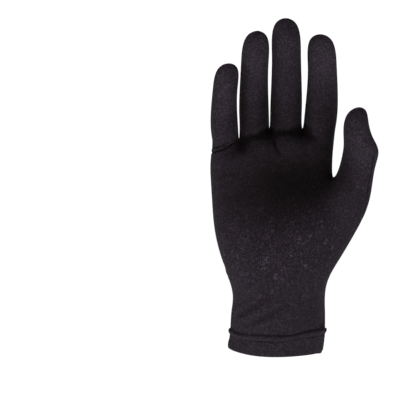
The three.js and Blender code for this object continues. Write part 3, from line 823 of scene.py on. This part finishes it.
# A line of sewing round the hem, one short thread for each stitch
stitchSettings = {
    "pitch": 2.1,  # mm from one stitch to the next
    "length": 1.5,
    "radius": 0.3,
    "sides": 6,
    "sunk": 0.05,
    "rounding": 0.1,
    "searchFrom": 1.6,  # half widths of the band: the line is looked for from out there
    "searchSteps": 721,
}


def hemStitches(settings):
    surface = BVHTree.FromPolygons(
        [v.co for v in hem.data.vertices], [p.vertices for p in hem.data.polygons])

    def onHem(turn):
        start = Vector((math.cos(turn) * bandSize[0], math.sin(turn) * bandSize[1], 0))
        start *= settings["searchFrom"] * mm
        start.z = heightAt(stitchLine, np.array([turn]))[0] * mm
        hit, normal, _, _ = surface.ray_cast(start, Vector((-start.x, -start.y, 0)).normalized())
        return hit, normal

    turns = np.linspace(-math.pi, math.pi, settings["searchSteps"])
    line = [onHem(t)[0] for t in turns]
    along = np.concatenate([[0], np.cumsum([(b - a).length for a, b in zip(line, line[1:])])]) / mm
    count = round(along[-1] / settings["pitch"])
    bm = bmesh.new()
    for i in range(count):
        spans = i + 0.5 + np.array([-0.5, 0, 0.5]) * settings["length"] / settings["pitch"]
        spans = np.interp(spans * along[-1] / count, along, turns)
        (a, _), (_, out), (c, _) = (onHem(t) for t in spans)
        side = (c - a).normalized().cross(out).normalized()
        made = bmesh.ops.create_cone(
            bm, cap_ends=True, segments=settings["sides"], depth=1,
            radius1=settings["radius"], radius2=settings["radius"])
        for v in made["verts"]:
            end = a if v.co.z < 0 else c
            v.co = end + out * (v.co.x - settings["sunk"]) * mm + side * v.co.y * mm
    bmesh.ops.recalc_face_normals(bm, faces=bm.faces)
    stitches = sewnObject("hemStitches", bm, [thread])
    bevel = stitches.modifiers.new("round", "BEVEL")
    bevel.width = settings["rounding"] * mm
    bevel.segments = 2
    bevel.limit_method = "ANGLE"
    stitches.data.shade_smooth()
    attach(stitches, "root")
    print("stitches", count)
    return stitches


stitches = hemStitches(stitchSettings)


# The outline seam: a thin roll of thread and cloth in the slit between the two panels
seamSettings = {
    "thick": 0.8,
    "halfGap": 0.15,  # of the slit
    "sunk": 0.35,
    "above": 12.5,  # mm: lower down the hem covers it
}


# The panel's rim between its outer sheet and its wall, as one loop of corners from the lowest on
def rimLoop(mesh, places):
    sides = {}
    for polygon in mesh.polygons:
        for key in polygon.edge_keys:
            sides.setdefault(key, set()).add(polygon.material_index)
    links = {}
    for a, b in (key for key, kinds in sides.items() if len(kinds) > 1):
        links.setdefault(a, []).append(b)
        links.setdefault(b, []).append(a)
    start = min(links, key=lambda v: places[v][2])
    loop = [start]
    before = None
    while True:
        after = [v for v in links[loop[-1]] if v != before]
        before = loop[-1]
        if after[0] == start or len(loop) > len(links):
            break
        loop.append(after[0])
    return loop


def outlineSeam(settings):
    mesh = palmPanel.data
    normals, _ = sheetNormals(mesh, 0)
    places = placesOf(mesh)
    loop = rimLoop(mesh, places)
    run = [v for v in loop if places[v][2] > settings["above"]]
    centre = [
        places[v] - normals[v] * settings["sunk"] + np.array([0, settings["halfGap"], 0])
        for v in run]
    print("seam points", len(run), "of", len(loop))
    curve = bpy.data.curves.new("outlineSeam", "CURVE")
    curve.dimensions = "3D"
    spline = curve.splines.new("POLY")
    spline.points.add(len(centre) - 1)
    for point, spot in zip(spline.points, centre):
        point.co = (*(spot * mm), 1)
    curve.bevel_depth = settings["thick"] / 2 * mm
    curve.bevel_resolution = 1
    curve.use_fill_caps = True
    rough = bpy.data.objects.new("outlineSeamCurve", curve)
    scene.collection.objects.link(rough)
    bpy.context.view_layer.update()
    tube = bpy.data.meshes.new_from_object(rough)
    bpy.data.objects.remove(rough)
    tube.name = "outlineSeam"
    tube.materials.clear()
    tube.materials.append(seamThread)
    tube.shade_smooth()
    seam = bpy.data.objects.new("outlineSeam", tube)
    scene.collection.objects.link(seam)
    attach(seam, "root")
    return seam


seam = outlineSeam(seamSettings)
print("sewing made")

# Studio: white all round, a pale floor well below and soft lamps, the strongest on the cuff's side
studio = {
    "ambient": 0.12,
    "white": 1.05,
    "floorHeight": -0.12,
    "floorSize": 12.0,
    "floorColour": (0.9, 0.9, 0.9, 1),
    "floorGlow": 0.9,
    "aim": (0.0, 0.0, 0.11),
    "lamps": [
        {"name": "key", "place": (0.0, -0.73, -0.87), "size": 0.5, "power": 12.5},
        {"name": "fill", "place": (0.1, -0.60, 1.05), "size": 0.6, "power": 2.4},
        {"name": "leftSide", "place": (-1.1, -0.30, 0.10), "size": 0.5, "power": 6},
        {"name": "rightSide", "place": (1.0, -0.45, 0.60), "size": 0.5, "power": 2.5},
        {"name": "backKey", "place": (0.0, 1.15, -0.40), "size": 0.4, "power": 15},
    ],
}
aim = Vector(studio["aim"])
for lamp in studio["lamps"]:
    light = bpy.data.lights.new(lamp["name"], "AREA")
    light.shape = "SQUARE"
    light.size = lamp["size"]
    light.energy = lamp["power"]
    holder = bpy.data.objects.new(lamp["name"], light)
    holder.location = lamp["place"]
    holder.rotation_euler = (aim - holder.location).to_track_quat("-Z", "Y").to_euler()
    holder.visible_camera = False
    scene.collection.objects.link(holder)

world = bpy.data.worlds.new("studio")
world.use_nodes = True
sky = world.node_tree
sky.nodes.clear()
seen = addNode(sky, "ShaderNodeLightPath").outputs["Is Camera Ray"]
strength = calc(sky, "MULTIPLY_ADD", seen, studio["white"] - studio["ambient"], studio["ambient"])
background = addNode(sky, "ShaderNodeBackground", {"Color": (1, 1, 1, 1), "Strength": strength})
skyOut = sky.nodes.new("ShaderNodeOutputWorld")
sky.links.new(background.outputs[0], skyOut.inputs["Surface"])
scene.world = world

floorMaterial, floorTree = newMaterial("paleFloor")
finishMaterial(floorTree, addNode(floorTree, "ShaderNodeBsdfPrincipled", {
    "Base Color": studio["floorColour"], "Roughness": 0.9,
    "Emission Color": (1, 1, 1, 1), "Emission Strength": studio["floorGlow"]}))
bm = bmesh.new()
bmesh.ops.create_grid(bm, x_segments=1, y_segments=1, size=studio["floorSize"] / 2)
bmesh.ops.translate(bm, verts=bm.verts, vec=(0, 0, studio["floorHeight"]))
floor = sewnObject("floor", bm, [floorMaterial])
floor.visible_shadow = floor.visible_diffuse = floor.visible_glossy = False
scene.view_settings.view_transform = "Standard"
print("studio set")
